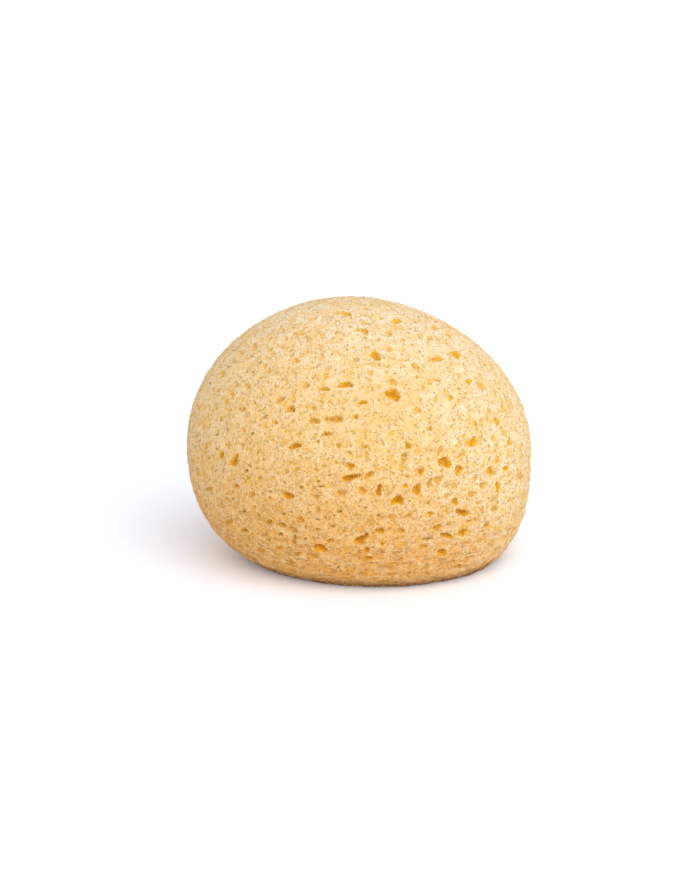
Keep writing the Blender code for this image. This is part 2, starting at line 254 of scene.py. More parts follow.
HALF_OPEN_PORES = (
    (1.6, 48.2, 3.0, 1.8, -20), (7.2, 41.3, 2.0, 1.8, 0), (11.8, 37.5, 2.6, 2.0, 0),
    (2.7, 38.3, 1.5, 1.5, 0), (-21.8, 36.7, 1.5, 2.2, 0), (21.8, 31.9, 2.0, 1.0, 0),
    (22.7, 30.3, 2.8, 2.4, 0), (23.0, 26.4, 1.8, 2.0, 0), (13.0, 24.5, 3.2, 3.0, 0),
    (-26.3, 33.0, 3.0, 2.2, 0), (-30.2, 42.0, 1.5, 2.5, 0), (-37.3, 28.7, 1.8, 2.8, -15),
    (30.3, 46.3, 3.2, 2.2, 0), (35.8, 43.3, 3.0, 1.8, -30), (28.3, 41.8, 2.6, 1.8, 0),
    (31.0, 33.7, 5.0, 2.6, 15), (49.0, 22.6, 4.8, 2.0, -42), (-32.5, 17.2, 4.6, 1.9, 30),
    (-34.9, 8.0, 2.6, 2.0, -30), (-54.4, 16.2, 1.8, 2.8, -10), (-48.2, 13.4, 2.6, 2.2, 0),
    (-53.9, -1.3, 2.8, 1.8, 20), (-25.7, -11.0, 2.6, 1.6, 0), (-41.0, -14.5, 2.4, 1.6, 0),
    (-50.5, -18.2, 3.0, 2.4, 0), (-61.0, -19.3, 2.6, 2.2, 0), (-16.0, 16.3, 2.6, 1.6, -30),
    (-19.2, 13.8, 2.6, 2.0, 0), (-19.0, 8.6, 4.6, 3.0, 0), (-10.5, 9.3, 7.0, 2.6, -5),
    (-9.0, -1.5, 2.4, 2.4, 0), (1.5, -1.9, 3.2, 2.0, 0), (17.6, -6.4, 2.8, 3.8, 0),
    (11.3, -3.7, 2.4, 1.2, 20), (3.4, -13.5, 4.6, 2.0, 40), (2.3, -15.3, 1.5, 1.2, 0),
    (0.7, -19.8, 3.6, 2.8, 0), (49.4, 8.3, 2.0, 2.5, 0), (58.5, 3.5, 2.0, 2.8, -25),
    (68.5, 1.5, 1.0, 3.4, 0), (42.0, 2.3, 2.2, 2.3, 0), (32.3, -3.3, 2.1, 3.4, -20),
    (28.2, 5.4, 2.5, 1.8, 20), (41.5, -4.9, 2.8, 1.9, 30), (28.0, -16.8, 1.7, 4.6, -15),
    (31.3, -15.5, 3.0, 3.6, 0), (46.8, -14.7, 1.8, 2.0, 0), (53.0, -12.0, 3.6, 4.2, 0),
    (49.8, -17.8, 2.5, 3.4, 0), (32.7, -11.9, 1.8, 1.2, 0), (-44.2, -21.5, 2.8, 2.6, 0),
    (-54.0, -23.6, 2.2, 1.6, -30), (-43.3, -26.6, 2.2, 1.6, 0), (-41.4, -30.4, 2.6, 1.7, -25),
    (-53.2, -32.7, 3.6, 2.2, 0), (-32.2, -33.7, 4.2, 1.8, -15), (-27.5, -35.7, 4.0, 2.4, -20),
    (-27.0, -40.0, 2.0, 4.0, 0), (-40.5, -44.2, 3.8, 2.2, 0), (-34.6, -49.2, 3.0, 1.8, 0),
    (-28.2, -49.2, 2.8, 2.6, 0), (-24.5, -31.7, 3.4, 2.4, 0), (-17.8, -22.3, 2.4, 2.1, 0),
    (-17.2, -27.3, 1.4, 2.6, 0), (19.2, -30.1, 3.6, 1.6, 0), (-11.2, -34.4, 3.0, 1.2, 15),
    (-14.6, -38.7, 2.4, 1.0, 0), (16.3, -36.1, 3.0, 2.4, 0), (23.0, -47.2, 2.6, 1.4, 0),
    (45.2, -21.2, 3.4, 2.4, 0), (34.9, -28.0, 1.8, 1.4, 0), (55.5, -26.0, 1.4, 3.6, 0),
    (49.6, -27.5, 1.8, 3.0, 0), (51.5, -34.2, 2.8, 2.6, 0), (54.7, -35.0, 1.2, 2.0, 0),
    (25.4, -42.4, 3.6, 1.6, 0), (40.0, -50.6, 3.6, 1.6, 0),
)
SHALLOW_PORES = (
    (-19.5, 49.9, 3.2, 1.3, 0), (-9.4, 49.0, 2.0, 1.2, 0), (-1.9, 45.4, 3.0, 1.2, 0),
    (11.8, 44.0, 2.0, 3.5, 0), (11.8, 40.4, 1.8, 1.5, 0), (-21.9, 42.2, 2.0, 1.5, 0),
    (-1.8, 33.4, 3.2, 1.8, 0), (17.7, 37.4, 2.5, 1.2, 0), (11.3, 31.0, 1.8, 1.2, -30),
    (4.1, 28.1, 2.5, 2.5, 0), (-14.3, 26.8, 2.0, 3.0, 0), (7.3, 22.4, 2.2, 1.8, 0),
    (-22.2, 23.0, 3.0, 3.0, 0), (-26.2, 43.6, 2.8, 1.0, 0), (-46.0, 28.7, 1.5, 1.5, 0),
    (-40.5, 26.0, 3.0, 1.2, 0), (-56.0, 27.5, 2.6, 3.0, 0), (-43.0, 38.5, 2.6, 3.4, 0),
    (-34.6, 22.6, 2.0, 1.8, 0), (-45.6, 22.6, 1.5, 3.0, 0), (-36.7, 37.2, 2.0, 1.5, 0),
    (-27.7, 49.1, 3.0, 1.0, 0), (36.3, 45.0, 1.6, 0.8, 0), (24.4, 42.4, 2.5, 1.5, 0),
    (31.3, 25.1, 3.6, 1.2, 0), (39.1, 24.4, 2.0, 2.0, 0), (-53.5, 12.7, 2.6, 2.0, 0),
    (-56.0, 17.7, 1.6, 2.2, 0), (-47.6, 4.9, 2.0, 2.4, 0), (-62.7, -1.9, 1.6, 2.8, 0),
    (-62.9, -4.2, 1.6, 1.4, 0), (-25.3, 3.1, 2.4, 1.8, 0), (-41.9, -4.6, 1.2, 2.4, 0),
    (-41.7, -8.1, 1.4, 2.4, 0), (-40.8, 12.7, 2.4, 1.0, 0), (22.9, 12.8, 3.4, 2.6, 0),
    (14.3, 8.4, 1.2, 2.0, 0), (16.2, 9.7, 1.6, 1.2, 0), (2.3, -4.9, 1.4, 3.0, 0),
    (8.8, -0.3, 1.8, 1.6, 0), (-8.0, -20.8, 4.0, 3.0, 0), (30.4, 17.2, 2.4, 2.2, 0),
    (44.5, 17.3, 1.2, 1.2, 0), (58.0, 13.7, 1.8, 5.0, 0), (34.7, -18.1, 1.4, 1.6, 0),
    (49.8, -9.9, 2.4, 1.0, 0), (65.1, -14.4, 3.6, 2.6, 0), (55.5, -7.6, 1.6, 3.2, 0),
    (42.9, -10.1, 1.6, 1.2, 0), (58.9, -1.7, 2.0, 1.5, 0), (-47.1, -27.1, 2.0, 1.0, 0),
    (-32.8, -43.1, 3.6, 1.6, 0), (-38.5, -37.8, 3.0, 2.0, 0), (-43.9, -37.5, 2.5, 1.5, 0),
    (-49.6, -42.1, 3.0, 1.0, 0), (-25.3, -45.6, 3.0, 2.0, 0), (-32.6, -46.0, 2.5, 1.2, 0),
    (-13.9, -24.6, 1.6, 1.2, 0), (-2.6, -29.8, 2.4, 1.2, 0), (12.7, -30.5, 3.6, 2.6, 0),
    (-18.3, -46.5, 3.2, 2.4, 0), (-2.5, -46.0, 2.2, 1.6, 0), (14.8, -45.1, 4.0, 1.0, 0),
    (6.6, -45.6, 1.5, 1.0, 0), (11.6, -51.3, 4.5, 0.8, 0), (-12.2, -52.0, 3.0, 1.0, 0),
    (0.6, -34.2, 2.5, 1.0, 0), (4.0, -33.4, 1.5, 1.8, 0), (22.6, -36.7, 3.4, 1.0, 15),
    (35.0, -22.0, 1.8, 2.2, 0), (32.0, -25.3, 1.4, 1.2, 0), (37.4, -30.7, 2.0, 1.4, 0),
    (54.5, -27.3, 3.4, 2.2, 20), (47.1, -31.6, 3.4, 1.2, 0), (26.8, -44.6, 2.2, 1.2, 25),
    (43.4, -47.4, 3.0, 1.0, 0), (37.5, -48.3, 3.0, 0.9, 0), (43.9, -32.5, 3.5, 1.2, 15),
    (27.2, -53.5, 3.5, 1.5, 0),
)
PIN_PORES = (
    (-4.2, 46.8, 1.8, 1.2, -25), (20.3, 45.8, 1.4, 0.9, 0), (22.1, 48.4, 1.0, 1.0, 0),
    (-5.5, 37.2, 1.0, 0.9, 0), (-15.6, 35.4, 1.2, 1.2, 0), (-11.7, 35.6, 1.2, 1.2, 0),
    (-17.1, 31.5, 1.5, 0.8, 0), (13.9, 27.8, 1.4, 0.9, 0), (-21.9, 26.2, 1.2, 0.9, 0),
    (14.6, 23.5, 1.2, 1.0, 0), (-26.6, 27.8, 1.0, 1.0, 0), (-40.8, 32.0, 1.6, 1.0, 30),
    (-51.0, 32.3, 2.0, 0.9, 0), (-43.7, 28.3, 1.5, 1.0, 0), (-50.1, 23.0, 1.0, 1.8, 0),
    (-61.0, 23.7, 1.0, 1.2, 0), (-51.3, 37.0, 1.5, 0.9, 0), (-53.3, 30.4, 1.5, 0.9, 0),
    (27.6, 23.5, 1.2, 1.0, 0), (38.1, 27.2, 1.4, 0.8, 0), (56.4, 21.2, 1.2, 0.9, 0),
    (58.9, 23.0, 0.9, 0.9, 0), (48.4, 27.4, 0.7, 1.2, 0), (33.8, 21.5, 1.4, 0.8, 0),
    (-56.7, 9.1, 1.0, 2.4, 0), (-54.2, 5.0, 1.4, 1.0, 0), (-58.3, 2.9, 1.4, 1.4, 0),
    (-46.4, -11.9, 2.0, 1.4, 0), (-44.8, -0.3, 1.0, 0.6, 0), (-43.9, 3.3, 1.6, 1.2, 30),
    (-65.2, 0.1, 1.0, 1.0, 0), (11.4, 5.6, 1.0, 0.8, 0), (-17.2, -16.1, 2.0, 0.9, 0),
    (-16.0, -18.2, 2.5, 0.8, 0), (-18.5, -13.7, 1.2, 0.8, 0), (12.0, -12.4, 2.4, 0.8, 0),
    (13.4, -18.4, 1.2, 1.4, 0), (39.5, 1.3, 1.2, 1.4, 0), (52.7, -18.3, 1.0, 1.4, 0),
    (52.5, -6.9, 1.2, 1.8, 0), (52.1, -1.9, 0.9, 1.8, 0), (37.7, -4.2, 1.2, 1.2, 0),
    (-51.7, -23.2, 1.5, 1.0, 0), (-57.9, -23.2, 1.8, 1.0, 0), (-48.0, -28.4, 3.0, 0.9, 0),
    (-31.2, -29.4, 1.8, 1.4, 0), (-28.2, -28.5, 1.8, 0.7, 0), (-51.0, -31.4, 2.6, 0.8, 0),
    (-32.5, -37.5, 2.0, 1.6, 0), (-37.3, -39.9, 2.4, 0.8, 0), (-62.7, -26.1, 1.8, 0.8, 0),
    (1.8, -26.8, 1.6, 1.2, 0), (7.2, -29.8, 1.8, 0.9, 0), (-8.7, -28.4, 2.6, 1.0, 0),
    (-7.8, -32.5, 1.6, 0.7, 0), (-17.4, -31.6, 2.8, 0.7, 0), (-22.4, -39.4, 1.6, 1.2, 0),
    (27.7, -24.6, 1.2, 2.0, -20), (27.9, -39.4, 4.0, 0.9, 0), (44.5, -40.8, 1.4, 0.9, 0),
    (41.1, -45.5, 2.0, 0.8, 0), (61.4, -31.8, 0.9, 0.9, 0), (58.2, -38.7, 0.9, 0.9, 0),
)

# Each kind of pore that was listed: its depth as a share of its mean width, and its share of
# amber and of olive inside, the painted glow and the painted shade of the light in it.
SEEN_KINDS = (
    (OPEN_PORES, 0.7, 1.0, 0.0),
    (HALF_OPEN_PORES, 0.5, 0.66, 0.06),
    (SHALLOW_PORES, 0.35, 0.5, 0.1),
    (PIN_PORES, 0.7, 0.5, 0.72),
)
DEEPEST = 4.5 * MM
MOST_STRETCH = 2.2
LEAST_FACING = 0.1
PORE_SHAPE = (0.55, 1.0)
SIDE_TILT = 0.5
FACES_THE_EYE = 0.22
LEAST_GAP = 0.5 * MM
BIG_PORE_COUNT = 92
BIG_PORE_SEED = 5
BIG_PORE_WIDE = (2.2 * MM, 5.4 * MM)
BIG_PORE_DEPTH = (0.6, 1.0)
CLEAR_FOOT_RADIUS = 9.0 * MM
REACH_SHARE = 1.1
TOO_FAR_TO_MEET = 12 * MM
# Each kind of small pore at random places: how many, least and greatest width, depth as a share
# of the mean width, share of amber and of olive inside (painted glow and painted shade), and
# whether it is on the seen side.
SMALL_KINDS = (
    (150, (1.6 * MM, 3.8 * MM), 0.5, 0.66, 0.06, False),
    (160, (1.4 * MM, 3.6 * MM), 0.35, 0.5, 0.1, False),
    (260, (1.0 * MM, 1.8 * MM), 0.7, 0.5, 0.72, False),
    (620, (1.0 * MM, 2.0 * MM), 0.6, 0.62, 0.08, True),
)
SMALL_PORE_SEED = 6
TRIES_A_PORE = 12
DENSER_BELOW = 0.6


def seen_pores(table, depth_ratio, amber, olive):
    """A table's pores on the smooth skin: middle, two half-axes, normal, depth, amber, olive.

    Each seen ellipse's half-axes are slid along the line of sight until they lie in the skin.
    """
    across, up, wide, tall = np.array(table)[:, :4].T * MM
    slant = np.radians(np.array(table)[:, 4])
    middles = sighted(across, up)
    normals = outward(middles)
    facing = np.maximum(-normals @ sight_forward, LEAST_FACING)
    seen_wide = np.outer(np.cos(slant), sight_right) + np.outer(np.sin(slant), sight_up)
    seen_tall = np.outer(np.cos(slant), sight_up) - np.outer(np.sin(slant), sight_right)
    half_axes = []
    for half in (seen_wide * (wide / 2)[:, None], seen_tall * (tall / 2)[:, None]):
        along = np.sum(normals * half, axis=1)
        slid = half + np.outer(along / facing, sight_forward)
        stretch = np.linalg.norm(slid, axis=1) / np.linalg.norm(half, axis=1)
        half_axes.append(slid / np.maximum(stretch / MOST_STRETCH, 1)[:, None])
    deep = np.minimum(depth_ratio * (wide + tall) / 2, DEEPEST)
    return [
        (middle, first, second, normal, down, amber, olive)
        for middle, first, second, normal, down in zip(middles, *half_axes, normals, deep)
    ]


def reach_towards(pore, direction):
    """How far a pore's ellipse reaches from its middle along a direction."""
    return REACH_SHARE * math.hypot(pore[1] @ direction, pore[2] @ direction)


def clear_of(pore, others):
    """Whether skin at least LEAST_GAP wide stays between this pore and each of the others."""
    for other in others:
        apart = other[0] - pore[0]
        distance = np.linalg.norm(apart)
        if distance > TOO_FAR_TO_MEET:
            continue
        toward = apart / max(distance, TINY)
        reach = reach_towards(pore, toward) + reach_towards(other, toward)
        if distance < reach + LEAST_GAP:
            return False
    return True


def half_axes_at(normal, turn, wide, tall):
    """A pore's two half-axes square to its normal, turned by this angle."""
    side = np.cross(normal, [math.cos(turn), math.sin(turn), SIDE_TILT])
    side /= np.linalg.norm(side)
    return wide / 2 * side, tall / 2 * np.cross(normal, side)


def big_hidden_pores(taken):
    """The big pores on the sides, the back and the underside, where the part has them too."""
    random = np.random.default_rng(BIG_PORE_SEED)
    made = []
    while len(made) < BIG_PORE_COUNT:
        direction = random.normal(size=(1, 3))
        direction /= np.linalg.norm(direction)
        middle = smooth_skin(direction)
        normal = outward(middle)[0]
        middle = middle[0]
        least, greatest = BIG_PORE_WIDE
        wide = least + (greatest - least) * random.random() ** 2
        tall = wide * random.uniform(*PORE_SHAPE)
        deep = wide * random.uniform(*BIG_PORE_DEPTH)
        turn = random.uniform(0, math.pi)
        if -normal @ sight_forward > FACES_THE_EYE:
            continue
        on_foot = middle[2] < -BELLY_HEIGHT + MM
        if on_foot and np.hypot(middle[0], middle[1]) < CLEAR_FOOT_RADIUS:
            continue
        pore = (middle, *half_axes_at(normal, turn, wide, tall), normal, deep, 1.0, 0.0)
        if clear_of(pore, taken + made):
            made.append(pore)
    return made


def small_pores(count, widths, depth_ratio, amber, olive, seen, taken, random):
    """Small pores at random places that the eye sees, or doesn't, each clear of those before it.

    Those that it sees lie denser towards the foot: a place at share t of the height from the foot
    is kept with a chance of 1 - DENSER_BELOW * t.
    """
    directions = random.normal(size=(TRIES_A_PORE * count, 3))
    middles = smooth_skin(directions / np.linalg.norm(directions, axis=1)[:, None])
    normals = outward(middles)
    fit = (-normals @ sight_forward > FACES_THE_EYE) == seen
    if seen:
        fit &= random.random(len(fit)) > DENSER_BELOW * (middles[:, 2] + BELLY_HEIGHT) / height
    places = np.array([pore[0] for pore in taken])
    reaches = np.array([np.linalg.norm(pore[1:3], axis=1).max() for pore in taken])
    made = []
    for middle, normal in zip(middles[fit], normals[fit]):
        wide = random.uniform(*widths)
        tall = wide * random.uniform(*PORE_SHAPE)
        turn = random.uniform(0, math.pi)
        apart = np.linalg.norm(places - middle, axis=1)
        if (apart < reaches + wide / 2 + LEAST_GAP).any():
            continue
        half_axes = half_axes_at(normal, turn, wide, tall)
        deep = depth_ratio * (wide + tall) / 2
        made.append((middle, *half_axes, normal, deep, amber, olive))
        places = np.vstack([places, middle])
        reaches = np.append(reaches, wide / 2)
        if len(made) == count:
            break
    return made


pores = []
for seen_kind in SEEN_KINDS:
    pores += seen_pores(*seen_kind)
pores += big_hidden_pores(pores)
small_random = np.random.default_rng(SMALL_PORE_SEED)
for small_kind in SMALL_KINDS:
    pores += small_pores(*small_kind, pores, small_random)

LATTICE_CELLS = 61
LATTICE_SHIFT = 1000


def grain(points, size, seed):
    """Smooth random values from -1 to 1.

    Each corner of a cubic lattice of this size has a random number, and a point's value is
    blended from the eight corners round it by the curve 3t^2 - 2t^3.
    """
    lattice = np.random.default_rng(seed).uniform(-1, 1, (LATTICE_CELLS,) * 3)
    spot = points / size + LATTICE_SHIFT
    cell = np.floor(spot).astype(int)
    share = spot - cell
    share = share * share * (3 - 2 * share)
    total = np.zeros(len(points))
    for corner in np.ndindex(2, 2, 2):
        at = (cell + corner) % LATTICE_CELLS
        weight = np.prod(np.where(corner, share, 1 - share), axis=1)
        total += weight * lattice[at[:, 0], at[:, 1], at[:, 2]]
    return total


RIM_WAVES = ((2, 0.11), (3, 0.12), (5, 0.06))
RIM_SEED = 23
NEAR_PORE = 2.2
LEAST_SHARE = 1e-6
GATHER = 0.65 * MM
GATHER_POWER = 1.9
NEAREST_TO_MIDDLE = 0.02
WALL = 0.85 * MM
WALL_OF_RADIUS = 0.75
BOWL_PART = 0.4
LIP_HEIGHT = 0.10 * MM
LIP_WIDTH = 0.35 * MM
LIP_OUTSIDE = 0.4 * MM
HOLLOW_WIDTH = 1.6 * MM
rim_random = np.random.default_rng(RIM_SEED)
rim_phases = rim_random.uniform(0, 2 * math.pi, (len(pores), len(RIM_WAVES)))


def about_pore(points, number):
    """The points near one pore: their numbers, offsets in its plane, and share of its radius.

    The share is the length of the offset measured in the pore's half-axes, over a rim that
    wavers by a few sine waves round the pore: 0 in the middle and 1 on the rim.
    """
    middle, first, second, normal = pores[number][:4]
    reach = NEAR_PORE * max(np.linalg.norm(first), np.linalg.norm(second)) + GATHER
    near = np.flatnonzero(np.sum((points - middle) ** 2, axis=1) < reach**2)
    offset = points[near] - middle
    u, v, _ = (offset @ np.linalg.inv(np.array([first, second, normal]))).T
    angle = np.arctan2(v, u)
    rim = 1 + sum(
        size * np.sin(turns * angle + phase)
        for (turns, size), phase in zip(RIM_WAVES, rim_phases[number])
    )
    flat = u[:, None] * first + v[:, None] * second
    return near, flat, np.maximum(np.hypot(u, v) / rim, LEAST_SHARE)


def gathered(points):
    """The points with those close to a pore's rim drawn on to it, so that the rim is crisp.

    A distance t from the rim, up to GATHER, becomes t times (|t| / GATHER) to a power. Each point
    is then put back on the smooth skin.
    """
    points = points.copy()
    for number in range(len(pores)):
        near, flat, share = about_pore(points, number)
        radius = np.linalg.norm(flat, axis=1) / share
        gap = (share - 1) * radius
        drawn = gap * np.minimum(np.abs(gap) / GATHER, 1) ** (GATHER_POWER - 1)
        new_share = np.maximum(1 + drawn / np.maximum(radius, TINY), NEAREST_TO_MIDDLE)
        points[near] += flat * (new_share / share - 1)[:, None]
    directions, _ = straightened(points)
    return smooth_skin(directions)


def sunk(points):
    """How far each point sinks into its deepest pore and rises on a lip, and the pore's colouring.

    From the rim inwards the wall drops by the curve 3t^2 - 2t^3 within WALL, and the floor is a
    shallow bowl. Outside the rim a low lip falls off as a bell curve. The hollow is 0.5 on the
    rim of the nearest pore and grows inwards, and amber and olive are those of that pore.
    """
    down, lip, hollow, amber, olive = np.zeros((5, len(points)))
    for number, (_, _, _, _, deep, pore_amber, pore_olive) in enumerate(pores):
        near, flat, share = about_pore(points, number)
        radius = np.linalg.norm(flat, axis=1) / share
        gap = (share - 1) * radius
        fall = np.clip(-gap / np.minimum(WALL, WALL_OF_RADIUS * radius), 0, 1)
        bowl = BOWL_PART * np.clip(1 - share**2, 0, 1)
        bowl += (1 - BOWL_PART) * fall * fall * (3 - 2 * fall)
        down[near] = np.maximum(down[near], deep * bowl)
        bell = np.exp(-(((gap - LIP_OUTSIDE) / LIP_WIDTH) ** 2))
        lip[near] = np.maximum(lip[near], bell)
        inside = np.clip(0.5 - gap / HOLLOW_WIDTH, 0, 1)
        nearest = inside > hollow[near]
        hollow[near[nearest]] = inside[nearest]
        amber[near[nearest]] = pore_amber
        olive[near[nearest]] = pore_olive
    return down, lip * LIP_HEIGHT * (down < LIP_HEIGHT), hollow, amber, olive


LUMPS = ((3.4 * MM, 0.16 * MM, 31), (1.7 * MM, 0.13 * MM, 32))
CREASE_SIZE = 5.5 * MM
CREASE_SQUASH = 4.2
CREASE_HEIGHT = 0.36 * MM
CREASE_BAND = (-6 * MM, -30 * MM)
CREASE_SEED = 33


def roughened(points):
    """The fine relief: round lumps of two sizes, and below the belly folds pressed level.

    The folds are the same lattice values with heights stretched, and grow over a band of heights.
    """
    relief = sum(high * grain(points, size, seed) for size, high, seed in LUMPS)
    start, end = CREASE_BAND
    low = np.clip((points[:, 2] - start) / (end - start), 0, 1)
    folds = grain(points * np.array([1, 1, CREASE_SQUASH]), CREASE_SIZE, CREASE_SEED)
    return relief + low * CREASE_HEIGHT * folds


skin = gathered(smooth_points)
skin_normals = outward(skin)
down, lip, hollow, amber, olive = sunk(skin)
skin = skin + skin_normals * (roughened(skin) + lip - down)[:, None]
skin[:, 2] = np.maximum(skin[:, 2], -BELLY_HEIGHT)


def new_mesh(name, points, faces):
    """A smooth-shaded mesh of these points and faces, at the origin."""
    mesh = bpy.data.meshes.new(name)
    mesh.from_pydata(points, [], faces)
    mesh.shade_smooth()
    mesh.update()
    made = bpy.data.objects.new(name, mesh)
    bpy.context.scene.collection.objects.link(made)
    return made


def mark(piece, name, values):
    """Each point's value, for the material to read by this name."""
    attribute = piece.data.attributes.new(name, "FLOAT", "POINT")
    attribute.data.foreach_set("value", values.astype(np.float32))


sponge_skin = new_mesh("sponge_skin", skin + belly, skin_quads)
skin_map = sponge_skin.data.uv_layers.new(name="OFBake")
skin_map.data.foreach_set("uv", map_places.astype(np.float32).ravel())
mark(sponge_skin, "hollow", hollow)
# Amber and olive for the inside of each pore: painted glow and painted shade.
mark(sponge_skin, "amber", amber)
mark(sponge_skin, "olive", olive)


def add(tree, kind, inputs=(), **settings):
    """One shader node. inputs gives each socket, by name or number, a value or a socket to link."""
    made = tree.nodes.new("ShaderNode" + kind)
    for name, value in settings.items():
        setattr(made, name, value)
    for socket, value in dict(inputs).items():
        if isinstance(value, bpy.types.NodeSocket):
            tree.links.new(value, made.inputs[socket])
        else:
            made.inputs[socket].default_value = value
    return made


def blend(tree, share, under, over):
    """Colour under, covered by colour over to this share."""
    mixed = add(tree, "Mix", {0: share, 6: under, 7: over}, data_type="RGBA")
    return mixed.outputs[2]


def tinted(tree, colour, tint, share=1.0):
    """Colour multiplied by a tint to this share."""
    inputs = {0: share, 6: colour, 7: tint}
    return add(tree, "Mix", inputs, data_type="RGBA", blend_type="MULTIPLY").outputs[2]


def ramp(tree, value, low, high):
    """value mapped so that low gives 0 and high gives 1, smoothly, also with low over high."""
    inputs = {"Value": value, "From Min": low, "From Max": high}
    return add(tree, "MapRange", inputs, interpolation_type="SMOOTHSTEP").outputs["Result"]


def times(tree, first, second):
    """first times second."""
    return add(tree, "Math", {0: first, 1: second}, operation="MULTIPLY").outputs[0]


def plus(tree, first, second):
    """first plus second."""
    return add(tree, "Math", {0: first, 1: second}, operation="ADD").outputs[0]


WHITE = (1, 1, 1, 1)
CREAM = (0.985, 0.81, 0.575, 1)
# Painted highlight: the paler cream of the crown, where the light from above falls.
CROWN_PAINTED_HIGHLIGHT = (0.985, 0.865, 0.69, 1)
STRAW = (0.955, 0.67, 0.305, 1)
OCHRE = (0.97, 0.575, 0.12, 1)
TAN = (0.55, 0.31, 0.08, 1)
GRIT_SHADE = (0.84, 0.81, 0.75, 1)
AMBER = (1.0, 0.57, 0.02, 1)
BLOTCH = (0.97, 0.55, 0.06, 1)
SPECK = (0.82, 0.52, 0.07, 1)
OLIVE = (0.62, 0.40, 0.07, 1)
# Painted shade and warm floor bounce towards the foot.
LOW_PAINTED_SHADE = (0.93, 0.74, 0.48, 1)
# Painted contact shadow on the lowest few millimetres.
UNDERSIDE_PAINTED_SHADE = (0.32, 0.18, 0.09, 1)
# Where the colours lie: heights and distances across in metres, each from the place where a
# colour begins to the place where it is full.
CROWN_HIGHLIGHT_BAND = (0.070, 0.108)
LOWER_HALF = (0.098, 0.030)
LOW_BAND = (0.045, 0.014)
LOW_PAINTED_SHADE_BAND = (0.085, 0.0)
UNDERSIDE_SHADE_BAND = (0.0062, 0.0003)
# Painted shade: ochre on the left, away from the lamp.
LEFT_SHADE_BAND = (-0.020, -0.060)
RIPE_SIDE = (-0.013, -0.044, 0.060)
RIPE_BAND = (0.066, 0.020)
# The low painted shade begins lower on the right, the side that the lamp lights: by these heights
# over these bands across.
RIGHT_LIFTS = (((0.005, 0.070), 0.028), ((0.044, 0.066), 0.022))
# Fine holes, painted dark as their shade or amber as the glow of light scattered in them: cells
# a millimetre, the share of them with a hole above and how much more below, the widest hole as a
# share of a cell, and how soft its edge is.
BLOTCHES = (0.36, 0.33, 0.3, 0.50, 0.11)
SPECKS = (0.72, 0.26, 0.37, 0.46, 0.09)
DOTS = (1.35, 0.28, 0.36, 0.46, 0.09)
# Slits between the folds that are pressed level near the foot, painted tan as their shade: cells
# a unit of the squashed pattern, the share of them with a slit, its greatest width and its
# softness.
SLITS = (1.0, 0.8, 0.5, 0.09)
PRESSED_SCALE = (0.17, 0.17, 0.9)
# How far, in millimetres, the pattern is pushed about so that no cell keeps a straight edge.
SWAY = (1.5, 1.5, 1.5)
# A pore's colour begins and is full at these values of its hollow with some fraying added.
FRAYING = 0.34
OPEN_BAND = (0.58, 0.86)
RELIEF_DEPTH = 0.6 * MM


def holes(tree, place, scale, share, widest, soft):
    """Small holes, one a cell at most, in this share of the cells, random in width, soft-edged."""
    cells = add(tree, "TexVoronoi", {"Vector": place, "Scale": scale})
    first, second, _ = add(tree, "SeparateColor", {0: cells.outputs["Color"]}).outputs
    kept = add(tree, "Math", {0: first, 1: share}, operation="LESS_THAN").outputs[0]
    edge = plus(tree, times(tree, second, -widest), cells.outputs["Distance"])
    return times(tree, ramp(tree, edge, soft, -soft), kept)


def noise(tree, place, scale, detail, roughness=0.5):
    """Smooth noise of this many waves a unit, with finer waves added."""
    inputs = {"Vector": place, "Scale": scale, "Detail": detail, "Roughness": roughness}
    return add(tree, "TexNoise", inputs).outputs


